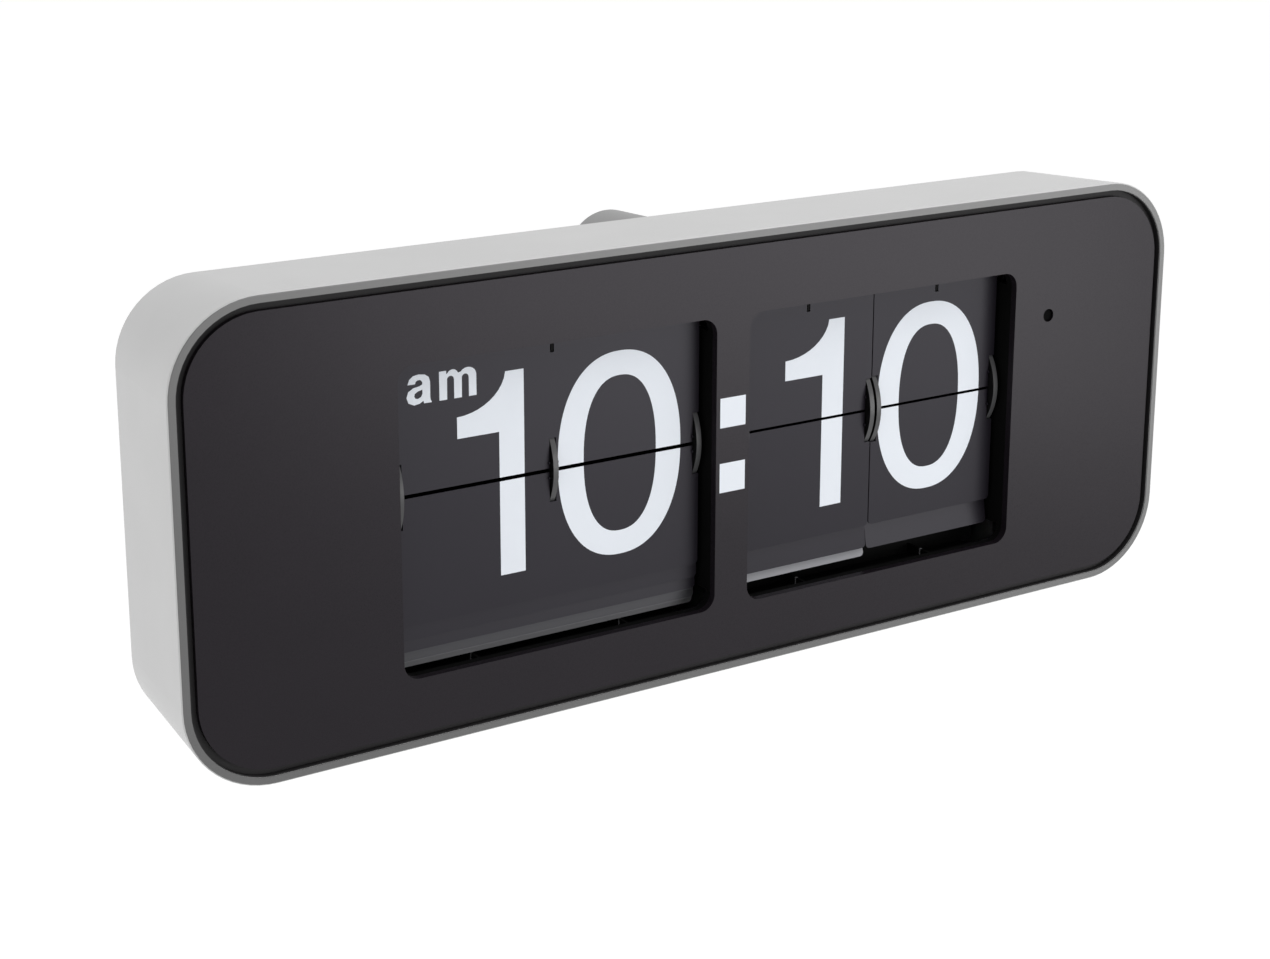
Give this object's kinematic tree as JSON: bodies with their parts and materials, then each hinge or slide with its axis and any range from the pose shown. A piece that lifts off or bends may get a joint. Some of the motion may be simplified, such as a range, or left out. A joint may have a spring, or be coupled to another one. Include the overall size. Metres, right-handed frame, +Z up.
{
  "type": "flip wall clock",
  "caption": "Wide rounded-box wall clock whose hours and minutes show on split leaves that fall behind two windows in a dark panel, driven by geared drums.",
  "frame": {"origin": "centre of the keyhole's round opening, on the wall face of the boss", "axes": "+X to the right seen from the front, +Y into the wall, +Z up"},
  "size_m": [0.36, 0.075, 0.14],
  "materials": {
    "case": "satin silver grey",
    "panel": "satin dark grey",
    "mark": "printed white",
    "black": "matte black",
    "back": "fine grain dark grey",
    "leaf": "satin dark grey",
    "drum": "moulded grey",
    "steel": "zinc plated",
    "gear": "natural acetal",
    "motor": "drawn can",
    "cell": "wrapped cell",
    "board": "solder mask"
  },
  "bodies": {
    "clock": {"case_shell": "case", "front_panel": "panel", "colon_marks": "mark", "hour_chamber": "black", "minute_chamber": "black", "back_cover": "back", "cover_screws": "steel", "wall_boss": "case", "wall_spacers": "back", "battery_bay": "back", "battery_cell": "cell", "battery_contacts": "steel", "left_plate": "steel", "centre_plate": "steel", "right_plate": "steel", "tie_rods": "steel", "drum_axle": "steel", "axle_spacers": "steel", "hour_lower_leaf": "leaf", "tens_lower_leaf": "leaf", "units_lower_leaf": "leaf", "hour_leaf_stack": "leaf", "tens_leaf_stack": "leaf", "units_leaf_stack": "leaf", "hour_catch": "black", "tens_catch": "black", "units_catch": "black", "idler_shaft": "steel", "motor": "motor", "setting_shaft": "steel", "gear_plate": "steel", "plate_posts": "steel", "circuit_board": "board", "light_sensor": "black", "chassis_screws": "steel"},
    "hour_drum": {"hour_drum": "drum"},
    "tens_drum": {"tens_drum": "drum"},
    "units_drum": {"units_drum": "drum", "units_gear": "gear"},
    "hour_leaf": {"hour_upper_leaf": "leaf"},
    "tens_leaf": {"tens_upper_leaf": "leaf"},
    "units_leaf": {"units_upper_leaf": "leaf"},
    "idler": {"idler_gear": "gear"},
    "pinion": {"motor_pinion": "gear"},
    "setting_wheel": {"setting_wheel": "drum"},
    "battery_door": {"battery_door": "back"}
  },
  "joints": [
    {"name": "hour_drum_turn", "type": "hinge", "parent": "clock", "child": "hour_drum", "pos_m": [0, -0.04985, -0.0457], "axis": [1, 0, 0], "continuous": true},
    {"name": "tens_drum_turn", "type": "hinge", "parent": "clock", "child": "tens_drum", "pos_m": [0, -0.04985, -0.0457], "axis": [1, 0, 0], "continuous": true},
    {"name": "units_drum_turn", "type": "hinge", "parent": "clock", "child": "units_drum", "pos_m": [0, -0.04985, -0.0457], "axis": [1, 0, 0], "continuous": true},
    {"name": "hour_leaf_fall", "type": "hinge", "parent": "clock", "child": "hour_leaf", "pos_m": [0, -0.0677, -0.04335], "axis": [1, 0, 0], "range_deg": [0, 170]},
    {"name": "tens_leaf_fall", "type": "hinge", "parent": "clock", "child": "tens_leaf", "pos_m": [0, -0.06724, -0.04104], "axis": [1, 0, 0], "range_deg": [0, 154]},
    {"name": "units_leaf_fall", "type": "hinge", "parent": "clock", "child": "units_leaf", "pos_m": [0, -0.06697, -0.04014], "axis": [1, 0, 0], "range_deg": [0, 150]},
    {"name": "idler_turn", "type": "hinge", "parent": "clock", "child": "idler", "pos_m": [0, -0.04674, -0.02352], "axis": [1, 0, 0], "continuous": true},
    {"name": "motor_turn", "type": "hinge", "parent": "clock", "child": "pinion", "pos_m": [0, -0.0533, -0.00548], "axis": [1, 0, 0], "continuous": true},
    {"name": "setting_turn", "type": "hinge", "parent": "clock", "child": "setting_wheel", "pos_m": [0, -0.03671, -0.06673], "axis": [1, 0, 0], "continuous": true},
    {"name": "battery_door_slide", "type": "slide", "parent": "clock", "child": "battery_door", "axis": [0, 0, -1], "range_m": [0, 0.008]}
  ],
  "couplings": [
    {"joint": "idler_turn", "follows": "units_drum_turn", "ratio": -3.6667},
    {"joint": "motor_turn", "follows": "units_drum_turn", "ratio": 11},
    {"joint": "setting_turn", "follows": "units_drum_turn", "ratio": -2.4444}
  ]
}
